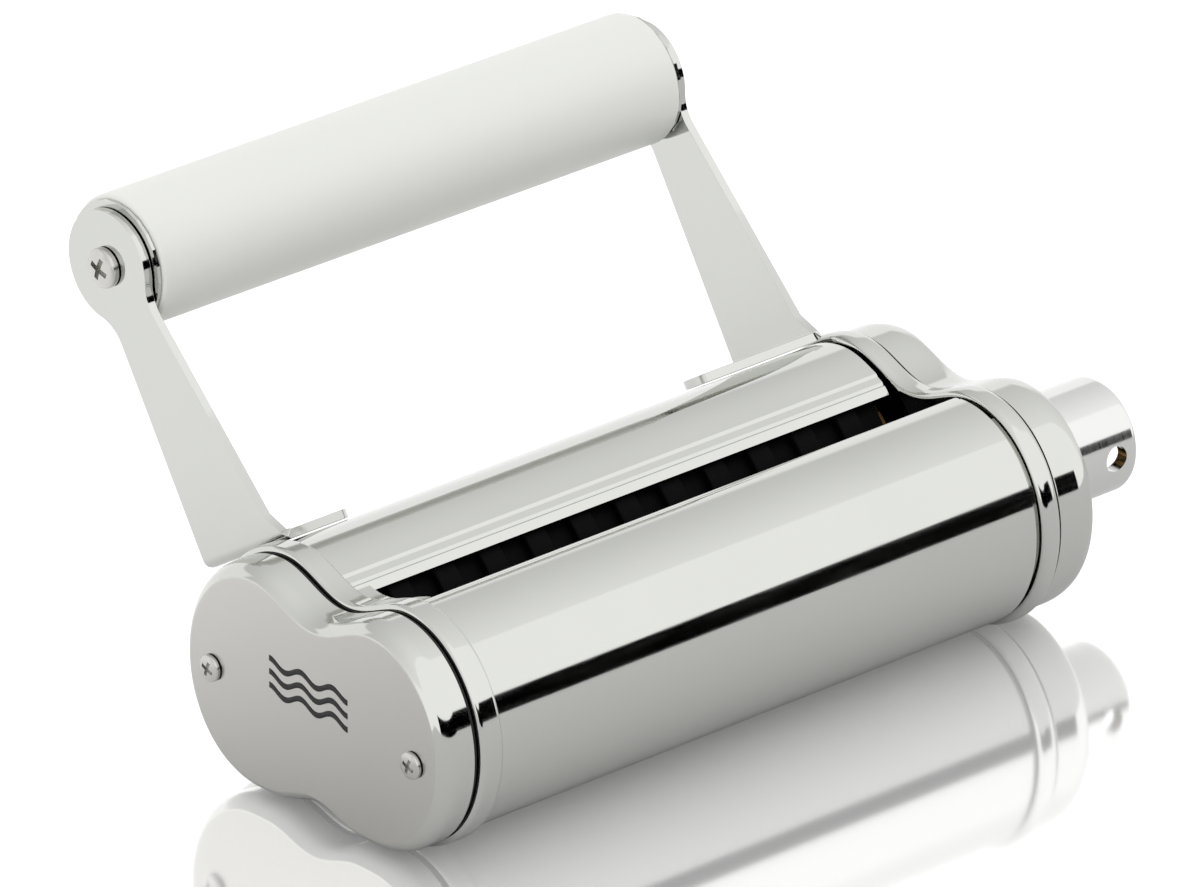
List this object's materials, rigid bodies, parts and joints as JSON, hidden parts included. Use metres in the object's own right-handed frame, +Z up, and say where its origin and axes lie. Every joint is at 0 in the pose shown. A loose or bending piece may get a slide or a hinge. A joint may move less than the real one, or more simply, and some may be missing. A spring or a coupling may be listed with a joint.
{
  "type": "pasta roller machine",
  "caption": "Stand mixer attachment that cuts dough sheets into flat ribbons between two grooved rollers in a polished steel body, with a white grip on bent arms.",
  "frame": {"origin": "centre of the footprint, on the surface that the machine stands on", "axes": "+X along the rollers from the plain end cap to the drive sleeve, +Y to the back where the grip is, +Z up"},
  "size_m": [0.2062, 0.1366, 0.1073],
  "materials": {
    "polished_steel": "mirror-polished stainless steel",
    "satin_steel": "satin stainless steel",
    "machined_aluminium": "fine turned aluminium",
    "plain_steel": "plain machined steel",
    "bronze": "sintered bronze",
    "white_plastic": "white moulded plastic, slightly glossy",
    "black_rubber": "black rubber",
    "cream_nylon": "natural nylon",
    "black_nylon": "black moulded nylon",
    "black_anodised_aluminium": "black hard-anodised aluminium"
  },
  "bodies": {
    "body": {"left_end_cap": "satin_steel", "right_end_cap": "satin_steel", "left_seal": "black_rubber", "right_seal": "black_rubber", "left_end_plate": "polished_steel", "right_end_plate": "polished_steel", "front_cover": "polished_steel", "rear_cover": "polished_steel", "front_left_bush": "bronze", "front_right_bush": "bronze", "rear_left_bush": "bronze", "rear_right_bush": "bronze", "sleeve_bush": "bronze", "drive_sleeve": "machined_aluminium", "front_comb": "black_nylon", "rear_comb": "black_nylon", "front_tie_rod": "plain_steel", "rear_tie_rod": "plain_steel", "left_arm": "polished_steel", "right_arm": "polished_steel", "grip_rod": "plain_steel", "left_grip_washer": "polished_steel", "right_grip_washer": "polished_steel", "left_cap_screw_front": "satin_steel", "left_cap_screw_rear": "satin_steel", "right_cap_screw_front": "satin_steel", "right_cap_screw_rear": "satin_steel", "front_left_tie_screw": "satin_steel", "front_right_tie_screw": "satin_steel", "rear_left_tie_screw": "satin_steel", "rear_right_tie_screw": "satin_steel", "left_grip_screw": "satin_steel", "right_grip_screw": "satin_steel"},
    "front_roller": {"front_cutter_roller": "black_anodised_aluminium", "drive_spindle": "plain_steel", "drive_gear": "plain_steel", "front_clip_left": "plain_steel"},
    "rear_roller": {"rear_cutter_roller": "black_anodised_aluminium", "rear_shaft": "plain_steel", "driven_gear": "plain_steel", "rear_clip_left": "plain_steel"},
    "grip": {"grip_roller": "white_plastic", "left_grip_bush": "cream_nylon", "right_grip_bush": "cream_nylon"}
  },
  "joints": [
    {"name": "front_roller_spin", "type": "hinge", "parent": "body", "child": "front_roller", "pos_m": [0, -0.0428, 0.0304], "axis": [1, 0, 0], "continuous": true},
    {"name": "rear_roller_spin", "type": "hinge", "parent": "body", "child": "rear_roller", "pos_m": [0, -0.0112, 0.0304], "axis": [1, 0, 0], "continuous": true},
    {"name": "grip_spin", "type": "hinge", "parent": "body", "child": "grip", "pos_m": [0, 0.0539, 0.0929], "axis": [1, 0, 0], "continuous": true}
  ],
  "couplings": [
    {"joint": "rear_roller_spin", "follows": "front_roller_spin", "ratio": -1}
  ]
}
